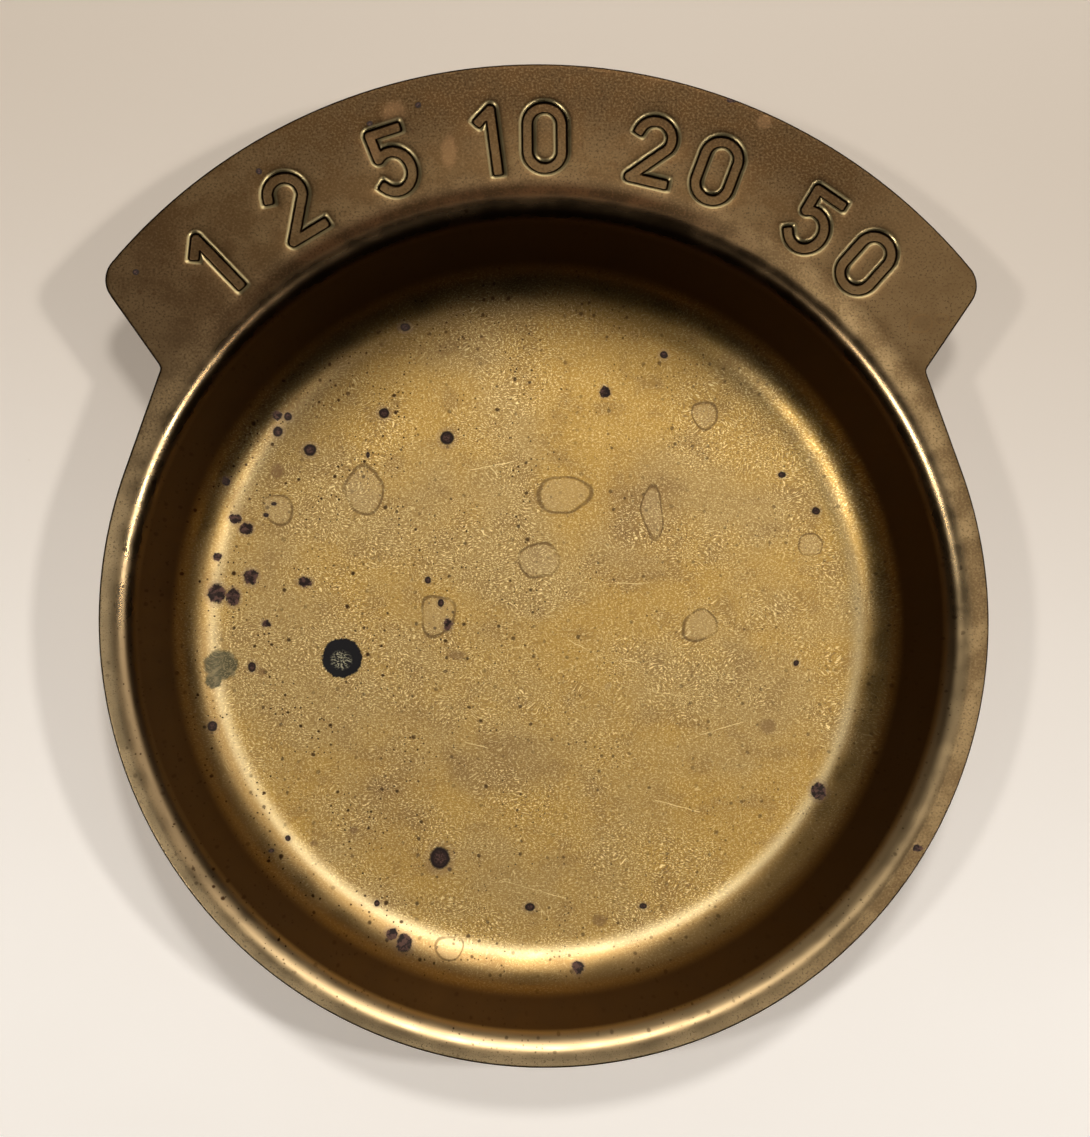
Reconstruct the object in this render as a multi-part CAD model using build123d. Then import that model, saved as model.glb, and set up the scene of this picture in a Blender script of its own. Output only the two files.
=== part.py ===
from build123d import *
import math
import os

# A pressed coin dish with an arched sign flange, drawn from one sheet of brass.
# Millimetres and degrees. Z is up, the dish stands on z = 0 with its axis on the
# Z axis, and the sign flange reaches towards +Y.

# The sheet has one thickness all over. Blanking rolls its upper cut edge over.
sheet_thickness = 0.8
edge_roll = 0.2

# The round dish. The land is the flat ring outside the lip. The draft is the lean
# of the wall away from upright.
rim_diameter = 120.0
overall_height = 15.0
rim_land_width = 2.0
lip_inside_radius = 2.9
floor_corner_radius = 9.0
wall_draft = 27.0

# The sign flange, in plan. Its outer arc is struck from the dish's axis and clears
# the rim by the flange depth. Angles are taken from the centre line, +Y.
sign_flange_depth = 15.5
sign_half_angle = 53.0
sign_end_lean = 35.0
sign_tip_fillet = 3.8
sign_root_fillet = 1.0
flare_start_angle = 71.0

# Sizes that follow from the ones above
rim_radius = rim_diameter / 2
land_radius = rim_radius - rim_land_width
sign_radius = rim_radius + sign_flange_depth
lip_outside_radius = lip_inside_radius + sheet_thickness
corner_underside_radius = floor_corner_radius + sheet_thickness
rim_underside = overall_height - sheet_thickness
corner_centre_height = sheet_thickness + floor_corner_radius
lip_centre_height = overall_height - lip_outside_radius


def plan_point(radius, angle):
    """A plan point at a radius from the dish's axis, its angle clockwise from +Y."""
    turn = math.radians(angle)
    return Vector(radius * math.sin(turn), radius * math.cos(turn))


def crossing(start_a, run_a, start_b, run_b):
    """The plan point where two lines cross, each given by a point and a direction."""
    gap = start_b - start_a
    reach = (gap.X * run_b.Y - gap.Y * run_b.X) / (run_a.X * run_b.Y - run_a.Y * run_b.X)
    return start_a + run_a * reach


def mirrored(point):
    """The same plan point on the other side of the centre line."""
    return Vector(-point.X, point.Y)


def nearest(vertices, point):
    """The vertex that lies nearest to a plan point."""
    return min(vertices, key=lambda vertex: (Vector(vertex.X, vertex.Y) - point).length)


def floor_radius():
    """The radius of the flat floor: what the lip, wall and corner leave inside the land."""
    lean = math.radians(wall_draft)
    radii = lip_outside_radius + floor_corner_radius
    wall_height = lip_centre_height - corner_centre_height + radii * math.sin(lean)
    return land_radius - radii * math.cos(lean) - wall_height * math.tan(lean)


def skin_line(corner_radius, lip_radius, floor_height, land_height):
    """One face of the sheet in section, from the dish's axis out to its rim land."""
    bend = 90 - wall_draft
    corner = CenterArc((floor_radius(), corner_centre_height), corner_radius, -90, bend)
    lip = CenterArc((land_radius, lip_centre_height), lip_radius, 90, bend)
    floor = Line((0, floor_height), corner @ 0)
    Line(corner @ 1, lip @ 1)
    land = Line(lip @ 0, (rim_radius - edge_roll, land_height))
    return floor @ 0, land @ 1


def drawn_bowl():
    """The bowl and the inner part of its rim land, revolved from one even section."""
    with BuildSketch(Plane.XZ) as section:
        with BuildLine():
            upper_ends = skin_line(floor_corner_radius, lip_outside_radius, sheet_thickness, overall_height)
            lower_ends = skin_line(corner_underside_radius, lip_inside_radius, 0, rim_underside)
            Line(upper_ends[0], lower_ends[0])
            Line(upper_ends[1], lower_ends[1])
        make_face()
    return revolve(section.sketch, Axis.Z)


def blank_outline():
    """The plan outline of the sheet: round rim, two straight flares and the sign flange."""
    flare_start = plan_point(rim_radius, flare_start_angle)
    flare_run = plan_point(1, flare_start_angle - 90)
    tip = plan_point(sign_radius, sign_half_angle)
    end_run = plan_point(1, sign_end_lean)
    root = crossing(flare_start, flare_run, tip, end_run)
    with BuildSketch() as outline:
        with BuildLine():
            ThreePointArc(flare_start, (0, -rim_radius), mirrored(flare_start))
            Polyline(mirrored(flare_start), mirrored(root), mirrored(tip))
            ThreePointArc(mirrored(tip), (0, sign_radius), tip)
            Polyline(tip, root, flare_start)
        make_face()
        fillet([nearest(outline.vertices(), spot) for spot in (tip, mirrored(tip))], sign_tip_fillet)
        fillet([nearest(outline.vertices(), spot) for spot in (root, mirrored(root))], sign_root_fillet)
    return outline.sketch


def flat_blank():
    """The flat sheet around the bowl's mouth, with its upper cut edge rolled over."""
    base = Pos(0, 0, rim_underside)
    sheet = base * extrude(blank_outline(), sheet_thickness)
    upper_edges = sheet.faces().sort_by(Axis.Z)[-1].outer_wire().edges()
    mouth = base * extrude(Circle(land_radius), sheet_thickness)
    return chamfer(upper_edges, edge_roll) - mouth


dish = flat_blank() + drawn_bowl()
os.makedirs("parts", exist_ok=True)
export_step(dish, "parts/dish_pressing.step")
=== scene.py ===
"""Dresses the pressed brass coin dish: its fine mesh, its aged finish, the table, the lamps and the camera.

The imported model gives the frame, in metres with +Z up. Sizes of the object are written in millimetres, as on
its drawing, and turned into metres where a mesh is made. Plan angles are degrees clockwise from +Y, the side
of the sign flange.
"""

import logging
import math
from dataclasses import dataclass, field
from enum import Enum

import bpy
import numpy as np
from mathutils import Matrix, Vector
from mathutils.geometry import delaunay_2d_cdt


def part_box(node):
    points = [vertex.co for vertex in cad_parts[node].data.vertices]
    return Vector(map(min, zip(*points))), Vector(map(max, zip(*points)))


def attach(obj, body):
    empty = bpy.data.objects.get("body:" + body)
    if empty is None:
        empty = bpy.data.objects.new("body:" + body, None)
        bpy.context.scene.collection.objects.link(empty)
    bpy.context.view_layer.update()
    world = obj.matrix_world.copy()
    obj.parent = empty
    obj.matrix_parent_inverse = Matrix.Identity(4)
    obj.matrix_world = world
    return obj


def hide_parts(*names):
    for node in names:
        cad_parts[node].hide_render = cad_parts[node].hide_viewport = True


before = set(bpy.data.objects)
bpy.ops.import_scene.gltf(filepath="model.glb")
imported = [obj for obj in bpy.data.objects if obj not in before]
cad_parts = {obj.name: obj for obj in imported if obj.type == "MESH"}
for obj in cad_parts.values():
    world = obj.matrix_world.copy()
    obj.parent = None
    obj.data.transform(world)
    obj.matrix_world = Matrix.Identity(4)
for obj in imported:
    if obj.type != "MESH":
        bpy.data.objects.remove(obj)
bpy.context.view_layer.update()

NODE = "dish_pressing"
BODY = "root"
METRE = 0.001
MILLIMETRES = (1000, 1000, 1000)
NOISE_MIDDLE = 0.5
BOWL_CENTRE = (-0.45, -0.7)
LOG = logging.getLogger("coin_dish")

Pair = tuple[float, float]
Triple = tuple[float, float, float]
Colour = tuple[float, float, float, float]
Socket = bpy.types.NodeSocket


def plan(radius: np.ndarray, angle: np.ndarray) -> np.ndarray:
    """Turns distances from the dish's axis and plan angles into x and y, along a new last axis."""
    turn = np.radians(angle)
    return np.stack([radius * np.sin(turn), radius * np.cos(turn)], axis=-1)


def arc(centre: Pair, radii: Pair, start: float, end: float, count: int) -> np.ndarray:
    """Samples an elliptical arc between two angles, in degrees counter-clockwise from +X."""
    turn = np.radians(np.linspace(start, end, count))
    return np.stack([centre[0] + radii[0] * np.cos(turn), centre[1] + radii[1] * np.sin(turn)], axis=-1)


def smooth_step(value: np.ndarray, low: float, high: float) -> np.ndarray:
    """Rises smoothly from 0 at low to 1 at high."""
    share = np.clip((value - low) / (high - low), 0, 1)
    return share * share * (3 - 2 * share)


class Skin(Enum):
    """The two faces of the sheet."""

    UPPER = "upper"
    LOWER = "lower"


@dataclass(frozen=True)
class PressedSection:
    """The dish's radial section: floor, corner, leaning wall, lip and rim land, in millimetres."""

    rim_radius: float
    height: float
    thickness: float = 0.8
    land_width: float = 2.0
    lip_inside_radius: float = 2.9
    corner_radius: float = 9.0
    wall_draft: float = 27.0
    floor_rings: tuple[float, ...] = (0.25, 0.5, 0.75, 0.93)
    corner_steps: int = 14
    wall_steps: int = 3
    lip_steps: int = 12

    @property
    def land_radius(self) -> float:
        """Where the lip meets the flat rim land."""
        return self.rim_radius - self.land_width

    def floor_radius(self) -> float:
        """Works out the radius of the flat floor, from the rim inwards.

        Returns:
            The radius.
        """
        lean = math.radians(self.wall_draft)
        radii = self.lip_inside_radius + self.thickness + self.corner_radius
        rise = self.height - self.thickness - radii + radii * math.sin(lean)
        return self.land_radius - radii * math.cos(lean) - rise * math.tan(lean)

    def profile(self, skin: Skin) -> np.ndarray:
        """Walks one skin from near the axis out to the land's inner edge.

        Args:
            skin: Which face of the sheet.

        Returns:
            Rows of radius and height.
        """
        below = skin is Skin.LOWER
        corner = self.corner_radius + (self.thickness if below else 0)
        lip = self.lip_inside_radius + (0 if below else self.thickness)
        floor_z = 0 if below else self.thickness
        flat = self.floor_radius()
        bend = 90 - self.wall_draft
        corner_centre = (flat, self.thickness + self.corner_radius)
        corner_run = arc(corner_centre, (corner, corner), -90, bend - 90, self.corner_steps + 1)
        lip_centre = (self.land_radius, self.height - self.thickness - self.lip_inside_radius)
        lip_run = arc(lip_centre, (lip, lip), 90 + bend, 90, self.lip_steps + 1)
        wall = np.linspace(corner_run[-1], lip_run[0], self.wall_steps + 1)[1:-1]
        floor = np.array([(share * flat, floor_z) for share in self.floor_rings])
        return np.vstack([floor, corner_run, wall, lip_run])


@dataclass(frozen=True)
class BlankOutline:
    """The plan outline of the sheet, as its radius at each angle, in millimetres."""

    rim_radius: float
    sign_radius: float
    half_angle: float = 53.0
    end_lean: float = 35.0
    tip_fillet: float = 3.8
    root_fillet: float = 1.0
    flare_start: float = 71.0
    samples: int = 120

    def right_half(self, inset: float) -> np.ndarray:
        """Samples the right half of the outline, moved inwards.

        Args:
            inset: How far inside the outline to run.

        Returns:
            Plan points from the middle of the sign arc round to the far side of the rim.
        """
        tip = plan(self.sign_radius, self.half_angle)
        end_run = plan(1.0, self.end_lean)
        end_out = plan(1.0, self.end_lean + 90)
        flare = plan(self.rim_radius, self.flare_start)
        flare_out = plan(1.0, self.flare_start)
        inner = self.sign_radius - self.tip_fillet
        base = tip - self.tip_fillet * end_out
        along = base @ end_run
        tip_centre = base + end_run * (-along + math.sqrt(along**2 - base @ base + inner**2))
        offsets = [end_out @ tip + self.root_fillet, flare_out @ flare + self.root_fillet]
        root_centre = np.linalg.solve(np.array([end_out, flare_out]), offsets)
        tip_angle = math.degrees(math.atan2(*tip_centre))
        sign = plan(self.sign_radius - inset, np.linspace(0, tip_angle, self.samples))
        tip_turn = np.linspace(tip_angle, self.end_lean + 90, self.samples)
        rounded = tip_centre + plan(self.tip_fillet - inset, tip_turn)
        root_turn = np.linspace(self.end_lean - 90, self.flare_start - 180, self.samples)
        root = root_centre + plan(self.root_fillet + inset, root_turn)
        rim = plan(self.rim_radius - inset, np.linspace(self.flare_start, 180, self.samples))
        end_line = np.linspace(rounded[-1], root[0], self.samples)
        flare_line = np.linspace(root[-1], rim[0], self.samples)
        return np.vstack([sign, rounded, end_line, root, flare_line, rim])

    def radius(self, angle: np.ndarray, inset: float) -> np.ndarray:
        """Gives the outline's radius at plan angles, moved inwards by inset.

        Args:
            angle: Plan angles in degrees.
            inset: How far inside the outline to stay.

        Returns:
            One radius for each angle.
        """
        points = self.right_half(inset)
        turns = np.degrees(np.arctan2(points[:, 0], points[:, 1]))
        return np.interp(np.abs(angle), turns, np.hypot(points[:, 0], points[:, 1]))


@dataclass(frozen=True)
class Numerals:
    """Plain coin values punched along the sign flange, as strokes with a flat recessed floor.

    Lengths are millimetres and sweeps are degrees counter-clockwise from +X. Places inside a figure are
    shares of its half width, and the bowl of the 5 stands at a share of the strokes' rise.
    """

    groups: tuple[str, ...] = ("1", "2", "5", "10", "20", "50")
    baseline_radius: float = 60.3
    height: float = 10.0
    stroke_width: float = 1.6
    wide: float = 4.7
    gap: float = 3.0
    group_gap: float = 8.6
    stem_side: float = 0.36
    flag_drop: float = 0.62
    crown_sweep: Pair = (165.0, -30.0)
    bar_ends: Pair = (0.84, -0.76)
    bowl_middle: Pair = (-0.06, 0.33)
    bowl_reach: float = 1.03
    bowl_sweep: Pair = (128.0, -142.0)
    arc_points: int = 22
    bowl_points: int = 26
    round_power: float = 2.0
    end_power: float = 5.0
    depth: float = 0.5
    near_shoulder: Pair = (0.16, 0.55)
    far_shoulder: Pair = (0.07, 1.4)
    shoulder_power: float = 2.2
    proud_softness: float = 0.35
    floor_half: float = 0.56
    floor_dirt: float = 0.12
    side_dirt: float = 0.95
    dirt_start: Pair = (-0.04, 0.1)
    dirt_end: Pair = (-0.06, 0.04)
    shoulder_wear: float = 0.38
    wear_start: Pair = (0.0, 0.06)
    wear_end: Pair = (0.16, 0.45)
    inner_levels: tuple[float, ...] = (0.0, 0.25, 0.48, 0.56, 0.62, 0.68, 0.74)
    outer_levels: tuple[float, ...] = (0.8, 0.87, 0.96, 1.1, 1.3, 1.65, 2.2)

    @property
    def rise(self) -> float:
        """The height of the strokes' centre lines."""
        return self.height - self.stroke_width

    def stroke(self, figure: str) -> np.ndarray:
        """Gives a figure's centre line, with its foot on y = 0 and its middle on x = 0.

        Args:
            figure: One of the figures in the groups.

        Returns:
            The centre line as rows of x and y.
        """
        half, top = self.wide / 2, self.rise
        if figure == "1":
            side = self.stem_side * half
            return np.array([(-side, top - self.flag_drop * half), (side, top), (side, 0)])
        if figure == "2":
            crown = arc((0, top - half), (half, half), *self.crown_sweep, self.arc_points)
            return np.vstack([crown, [(-half, 0), (half, 0)]])
        if figure == "5":
            middle = (self.bowl_middle[0] * half, self.bowl_middle[1] * top)
            reach = (self.bowl_reach * half, middle[1])
            bowl = arc(middle, reach, *self.bowl_sweep, self.bowl_points)
            return np.vstack([[(end * half, top) for end in self.bar_ends], bowl])
        side = top / 2 - half
        upper = arc((0, top / 2 + side), (half, half), 0, 180, self.arc_points)
        lower = arc((0, top / 2 - side), (half, half), 180, 360, self.arc_points)
        return np.vstack([upper, lower, upper[:1]])

    def width(self, figure: str) -> float:
        """The width that a figure takes along the arc, its strokes included."""
        return (self.stem_side * self.wide if figure == "1" else self.wide) + self.stroke_width

    def places(self) -> list[tuple[str, float]]:
        """Sets the figures along the arc, centred on the flange.

        Returns:
            Each figure with the plan angle of its middle.
        """
        spots, run = [], 0.0
        for group in self.groups:
            for figure in group:
                spots.append((figure, run + self.width(figure) / 2))
                run += self.width(figure) + self.gap
            run += self.group_gap - self.gap
        run -= self.group_gap
        middle = self.baseline_radius + self.height / 2
        return [(figure, math.degrees((spot - run / 2) / middle)) for figure, spot in spots]

    def distance(self, points: np.ndarray, figure: str) -> np.ndarray:
        """Measures how far points lie from a figure's centre line, with squared-off stroke ends.

        Args:
            points: Rows of x and y in the figure's own frame.
            figure: The figure.

        Returns:
            One distance for each point.
        """
        line = self.stroke(figure)
        nearest = np.full(len(points), np.inf)
        for index, (first, last) in enumerate(zip(line[:-1], line[1:], strict=True)):
            length = np.linalg.norm(last - first)
            run = (last - first) / length
            along = (points - first) @ run
            side = np.abs((points - first) @ np.array([-run[1], run[0]]))
            before = np.maximum(-along, 0)
            beyond = np.maximum(along - length, 0)
            power = np.full(len(points), self.round_power)
            power[(before > 0) & (index == 0)] = self.end_power
            power[(beyond > 0) & (index == len(line) - 2)] = self.end_power
            over = before + beyond
            nearest = np.minimum(nearest, (side**power + over**power) ** (1 / power))
        return nearest

    def sink(self, distance: np.ndarray, skin: Skin) -> np.ndarray:
        """Gives how deep the sheet is pushed down at a distance from a stroke's centre line.

        Args:
            distance: Distances from the centre line.
            skin: The punched upper face, or the lower one, which stands proud with rounder edges.

        Returns:
            Depths below the flat flange.
        """
        edge = self.stroke_width / 2
        sunk = 0.0
        for drop, width in (self.near_shoulder, self.far_shoulder):
            sunk = sunk + drop * np.clip(1 - (distance - edge) / width, 0, 1) ** self.shoulder_power
        soft = self.proud_softness if skin is Skin.LOWER else 0.0
        wall = 1 - smooth_step(distance, self.floor_half, edge + soft)
        return (self.depth - self.near_shoulder[0] - self.far_shoulder[0]) * wall + sunk

    def soil(self, distance: np.ndarray, skin: Skin) -> np.ndarray:
        """Gives how much dirt and bare metal lie at a distance from a stroke's centre line.

        Args:
            distance: Distances from the centre line.
            skin: Which face they are on; only the upper one is dirty or worn.

        Returns:
            Rows of dirt in the steep sides and wear on the shoulders, from 0 to 1.
        """
        past_floor = distance - self.floor_half
        past_edge = distance - self.stroke_width / 2
        side = smooth_step(past_floor, *self.dirt_start) * (1 - smooth_step(past_edge, *self.dirt_end))
        dirt = self.floor_dirt * (past_floor < 0) + self.side_dirt * side
        rubbed = smooth_step(past_edge, *self.wear_start) * (1 - smooth_step(past_edge, *self.wear_end))
        return np.column_stack([dirt, self.shoulder_wear * rubbed]) * (skin is Skin.UPPER)

    def to_plan(self, points: np.ndarray, angle: float) -> np.ndarray:
        """Moves points from a figure's own frame to the plan, where its middle has a plan angle."""
        foot = self.baseline_radius + self.stroke_width / 2
        return points[:, :1] * plan(1.0, angle + 90) + (points[:, 1:] + foot) * plan(1.0, angle)

    def contours(self, skin: Skin, spacing: float) -> tuple[np.ndarray, np.ndarray, np.ndarray]:
        """Finds points along lines of even distance round every stroke.

        Args:
            skin: Which face they are for.
            spacing: The least space that is kept between two points of one line.

        Returns:
            Plan points, how deep each is pushed down, and its dirt and wear.
        """
        grid = spacing / 2
        reach = self.stroke_width / 2 + self.far_shoulder[1] + self.stroke_width
        columns = np.arange(-self.wide / 2 - reach, self.wide / 2 + reach, grid)
        rows = np.arange(-reach, self.rise + reach, grid)
        axes = np.meshgrid(columns, rows)
        samples = np.stack([axis.ravel() for axis in axes], axis=-1)
        figures = sorted(set("".join(self.groups)))
        known = {figure: self.distance(samples, figure).reshape(axes[0].shape) for figure in figures}
        places, depths, soil = [], [], []
        for figure, angle in self.places():
            for level in self.inner_levels + self.outer_levels:
                found = self.crossings(known[figure] - max(level, grid), axes)
                cells = np.floor(found / spacing).astype(int)
                found = found[np.unique(cells, axis=0, return_index=True)[1]]
                places.append(self.to_plan(found, angle))
                depths.append(self.sink(np.full(len(found), level), skin))
                soil.append(self.soil(np.full(len(found), level), skin))
        return np.vstack(places), np.concatenate(depths), np.vstack(soil)

    @staticmethod
    def crossings(values: np.ndarray, axes: list[np.ndarray]) -> np.ndarray:
        """Finds where a sampled field passes through zero, along the grid's lines.

        Args:
            values: The field.
            axes: The samples' x and their y.

        Returns:
            The crossing points, one row each.
        """
        found = []
        for axis in (0, 1):
            ahead = [slice(None), slice(None)]
            behind = [slice(None), slice(None)]
            ahead[axis], behind[axis] = slice(1, None), slice(None, -1)
            ahead, behind = tuple(ahead), tuple(behind)
            first, last = values[behind], values[ahead]
            hit = (first < 0) != (last < 0)
            share = first[hit] / (first[hit] - last[hit])
            spots = [part[behind][hit] * (1 - share) + part[ahead][hit] * share for part in axes]
            found.append(np.stack(spots, axis=-1))
        return np.vstack(found)


@dataclass
class CoinDish:
    """The whole pressing as one closed mesh: both skins of the sheet, its cut edge and its numerals."""

    section: PressedSection
    outline: BlankOutline
    numerals: Numerals = field(default_factory=Numerals)
    edge_roll: float = 0.28
    roll_turns: tuple[float, ...] = (22.5, 45.0, 67.5, 90.0)
    # How dark the cut edge is drawn, through the crevice attribute.
    edge_darkening: float = 0.9
    burr_round: float = 0.07
    burr_turns: tuple[float, ...] = (0.0, 45.0)
    column_step: float = 1.5
    end_step: float = 0.25
    end_span: Pair = (51.0, 58.5)
    panel_half_angle: float = 49.5
    panel_radii: Pair = (58.6, 71.9)
    panel_rings: int = 8
    outer_rings: tuple[float, ...] = (73.6, 74.8)
    point_spacing: dict[Skin, float] = field(default_factory=lambda: {Skin.UPPER: 0.12, Skin.LOWER: 0.24})
    merge_distance: float = 1e-6
    angle_places: int = 4

    def columns(self) -> np.ndarray:
        """Sets out the mesh's columns, closer together round the sign flange's ends.

        Returns:
            Their plan angles.
        """
        coarse = np.arange(-180, 180, self.column_step)
        low, high = self.end_span
        fine = np.arange(low, high + self.end_step, self.end_step)
        return np.unique(np.round(np.concatenate([coarse, fine, -fine]), self.angle_places))

    def flange_shares(self) -> np.ndarray:
        """Sets out the rows across the flange.

        Returns:
            Shares of the way from the lip to the flange's rolled edge.
        """
        rings = np.concatenate([np.linspace(*self.panel_radii, self.panel_rings + 1), self.outer_rings])
        outer = self.outline.sign_radius - self.edge_roll
        return (np.append(rings, outer) - self.section.land_radius) / (outer - self.section.land_radius)

    @staticmethod
    def ring(radius: np.ndarray, angles: np.ndarray, height: float) -> np.ndarray:
        """Lays one closed row of points at a height."""
        return np.column_stack([plan(radius, angles), np.full(len(angles), height)])

    def skin_rows(self, skin: Skin, angles: np.ndarray) -> np.ndarray:
        """Lays out one skin's rows from near the axis to its edge.

        Args:
            skin: Which face of the sheet.
            angles: The columns' plan angles.

        Returns:
            Points as rows, columns and x, y, z.
        """
        shift = np.array([*BOWL_CENTRE, 0])
        profile = self.section.profile(skin)
        even = np.ones(len(angles))
        rows = [self.ring(radius * even, angles, height) + shift for radius, height in profile]
        inset = self.edge_roll if skin is Skin.UPPER else self.burr_round
        edge = self.ring(self.outline.radius(angles, inset), angles, profile[-1, 1])
        rows += [rows[len(profile) - 1] * (1 - share) + edge * share for share in self.flange_shares()]
        return np.stack(rows)

    def edge_rows(self, angles: np.ndarray) -> np.ndarray:
        """Lays out the cut edge, rolled over above and with a slight burr below.

        Args:
            angles: The columns' plan angles.

        Returns:
            Points as rows, columns and x, y, z.
        """
        top = self.section.height
        low = top - self.section.thickness
        rows = []
        for turn in np.radians(self.roll_turns):
            radius = self.outline.radius(angles, self.edge_roll * (1 - math.sin(turn)))
            rows.append(self.ring(radius, angles, top - self.edge_roll * (1 - math.cos(turn))))
        for turn in np.radians(self.burr_turns):
            radius = self.outline.radius(angles, self.burr_round * (1 - math.cos(turn)))
            rows.append(self.ring(radius, angles, low + self.burr_round * (1 - math.sin(turn))))
        return np.stack(rows)

    def build(self) -> bpy.types.Object:
        """Makes the mesh object.

        Returns:
            The dish, with smooth faces.
        """
        angles = self.columns()
        upper = self.skin_rows(Skin.UPPER, angles)
        edge = self.edge_rows(angles)
        rows = np.concatenate([upper, edge, self.skin_rows(Skin.LOWER, angles)[::-1]])
        count, width = rows.shape[:2]
        index = np.arange(count * width).reshape(count, width)
        soiled = np.zeros((count, width, 2))
        soiled[len(upper) : len(upper) + len(edge), :, 0] = self.edge_darkening
        points, soil = [rows.reshape(-1, 3)], [soiled.reshape(-1, 2)]
        first = len(upper) - len(self.flange_shares())
        inside = np.where(np.abs(angles) < self.panel_half_angle + self.end_step / 2)[0]
        starts = {Skin.UPPER: first, Skin.LOWER: count - 1 - first - self.panel_rings}
        keep = np.ones((count - 1, width), bool)
        for start in starts.values():
            keep[start : start + self.panel_rings, inside[0] : inside[-1]] = False
        faces = self.quads(index, keep)
        total = count * width
        for skin, start in starts.items():
            block = index[start : start + self.panel_rings + 1, inside[0] : inside[-1] + 1]
            extra, spoilt, triangles = self.panel(skin, points[0], block, total)
            points.append(extra)
            soil.append(spoilt)
            faces += triangles
            total += len(extra)
        faces += self.floor_caps(index, total)
        points.append(np.array([(*BOWL_CENTRE, self.section.thickness), (*BOWL_CENTRE, 0)]))
        soil.append(np.zeros((2, 2)))
        return self.dish_object(np.vstack(points), faces, np.vstack(soil))

    @staticmethod
    def dish_object(points: np.ndarray, faces: list[list[int]], soil: np.ndarray) -> bpy.types.Object:
        """Turns points and faces into the dish's object.

        Args:
            points: The points, in millimetres.
            faces: The faces, as numbers of points.
            soil: Each point's dirt and wear.

        Returns:
            The object, with its dirt and wear as attributes.
        """
        mesh = bpy.data.meshes.new("coin_dish")
        mesh.from_pydata((points * METRE).tolist(), [], faces)
        mesh.update()
        mesh.polygons.foreach_set("use_smooth", [True] * len(mesh.polygons))
        for name, values in zip(("crevice", "worn"), soil.T, strict=True):
            mesh.attributes.new(name, "FLOAT", "POINT").data.foreach_set("value", values.copy())
        dish = bpy.data.objects.new("coin_dish", mesh)
        bpy.context.scene.collection.objects.link(dish)
        LOG.info("coin_dish: %d points, %d faces", len(mesh.vertices), len(mesh.polygons))
        return dish

    @staticmethod
    def quads(index: np.ndarray, keep: np.ndarray) -> list[list[int]]:
        """Joins neighbouring rows with four-sided faces.

        Args:
            index: The points' numbers as rows and columns.
            keep: Which cells to fill.

        Returns:
            The faces, facing out of the sheet.
        """
        ahead = np.roll(index, -1, axis=1)
        cells = np.stack([index[:-1], index[1:], ahead[1:], ahead[:-1]], axis=-1)
        return cells[keep][:, ::-1].tolist()

    @staticmethod
    def floor_caps(index: np.ndarray, total: int) -> list[list[int]]:
        """Closes both skins with a fan about the axis.

        Args:
            index: The points' numbers as rows and columns.
            total: The number of the upper middle point; the lower one follows.

        Returns:
            The fans' triangles.
        """
        faces = []
        for row, middle, upper in ((index[0], total, True), (index[-1], total + 1, False)):
            pairs = zip(row.tolist(), np.roll(row, -1).tolist(), strict=True)
            faces += [[middle, last, first] if upper else [middle, first, last] for first, last in pairs]
        return faces

    def panel(
        self, skin: Skin, points: np.ndarray, block: np.ndarray, total: int
    ) -> tuple[np.ndarray, np.ndarray, list[list[int]]]:
        """Fills the part of the flange that holds the numerals with triangles that follow their strokes.

        Args:
            skin: Which face of the sheet.
            points: All grid points.
            block: The numbers of the grid points in and round the panel.
            total: How many points there are so far.

        Returns:
            The new points, their dirt and wear, and the triangles over old and new ones.
        """
        loop = np.concatenate([block[0, :-1], block[:-1, -1], block[-1, :0:-1], block[:0:-1, 0]])
        places, depths, soil = self.numerals.contours(skin, self.point_spacing[skin])
        spare = points[block[1:-1, 1:-1].ravel()][:, :2]
        spare = spare[self.far_from(spare, places, self.column_step / 2)]
        places = np.vstack([places, spare])
        depths = np.concatenate([depths, np.zeros(len(spare))])
        soil = np.vstack([soil, np.zeros((len(spare), 2))])
        flat = [Vector(spot) for spot in np.vstack([points[loop][:, :2], places])]
        rim = [(number, (number + 1) % len(loop)) for number in range(len(loop))]
        found, _, faces, sources, _, _ = delaunay_2d_cdt(flat, rim, [], 1, self.merge_distance)
        known = loop.tolist() + list(range(total, total + len(places)))
        numbers = [known[source[0]] for source in sources]
        triangles = []
        for face in faces:
            first, second, third = (found[corner] for corner in face)
            facing_up = (second - first).cross(third - first) > 0
            ordered = face if facing_up == (skin is Skin.UPPER) else face[::-1]
            triangles.append([numbers[corner] for corner in ordered])
        return np.column_stack([places, points[block[0, 0], 2] - depths]), soil, triangles

    @staticmethod
    def far_from(points: np.ndarray, others: np.ndarray, least: float) -> np.ndarray:
        """Marks the points that lie at least a distance away from all others."""
        return np.array([np.min(np.hypot(*(others - point).T)) > least for point in points])


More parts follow.
